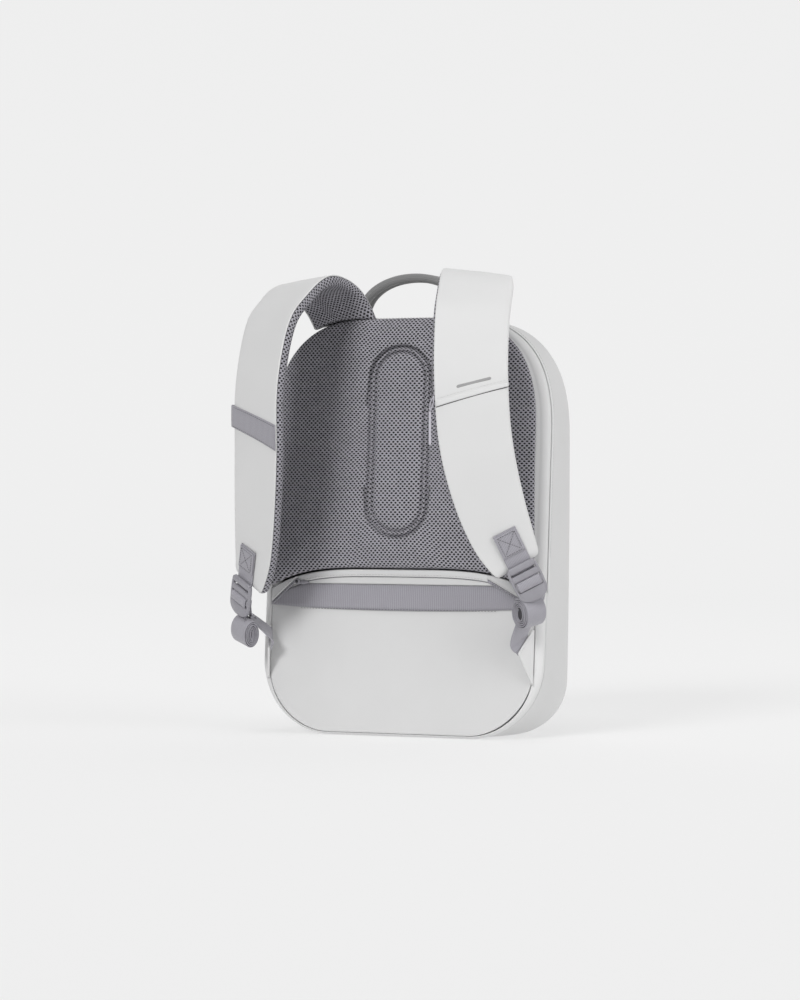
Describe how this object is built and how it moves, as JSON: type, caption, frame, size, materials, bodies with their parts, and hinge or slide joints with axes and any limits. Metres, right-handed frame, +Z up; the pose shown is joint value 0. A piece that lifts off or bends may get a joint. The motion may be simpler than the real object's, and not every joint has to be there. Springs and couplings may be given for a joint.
{
  "type": "laptop backpack",
  "caption": "Upright backpack with a rounded semi-rigid body, a padded mesh back, a hidden lower pocket, a top handle and padded shoulder straps.",
  "frame": {"origin": "middle of the flat bottom that the bag stands on", "axes": "+Z up, -Y toward the wearer's back, +X to the right when the mesh back panel is looked at"},
  "size_m": [0.3547, 0.2444, 0.4777],
  "materials": {
    "white_shell": "matte coated cloth",
    "grey_mesh": "padded spacer mesh",
    "grey_webbing": "woven webbing",
    "handle_webbing": "woven webbing",
    "grey_plastic": "satin"
  },
  "bodies": {
    "root": {"shell": "white_shell", "rim": "white_shell", "main_zip_lip": "white_shell", "back_pad": "grey_mesh", "lower_panel": "white_shell", "pocket_hem": "white_shell", "pocket_zip": "grey_webbing", "pocket_slider": "grey_plastic", "luggage_band": "grey_webbing", "corner_flap_left": "white_shell", "corner_flap_right": "white_shell", "handle": "handle_webbing", "strap_cover_left": "white_shell", "strap_cover_right": "white_shell", "strap_pad_left": "grey_mesh", "strap_pad_right": "grey_mesh", "strap_band_left": "grey_webbing", "strap_pocket_hem_right": "white_shell", "strap_mark_right": "grey_webbing", "strap_zip_pull_right": "grey_plastic", "upper_webbing_left": "grey_webbing", "upper_webbing_right": "grey_webbing", "buckle_left": "grey_plastic", "buckle_right": "grey_plastic", "lower_webbing_left": "grey_webbing", "lower_webbing_right": "grey_webbing", "side_tab_left": "white_shell", "side_tab_right": "white_shell"}
  },
  "joints": []
}
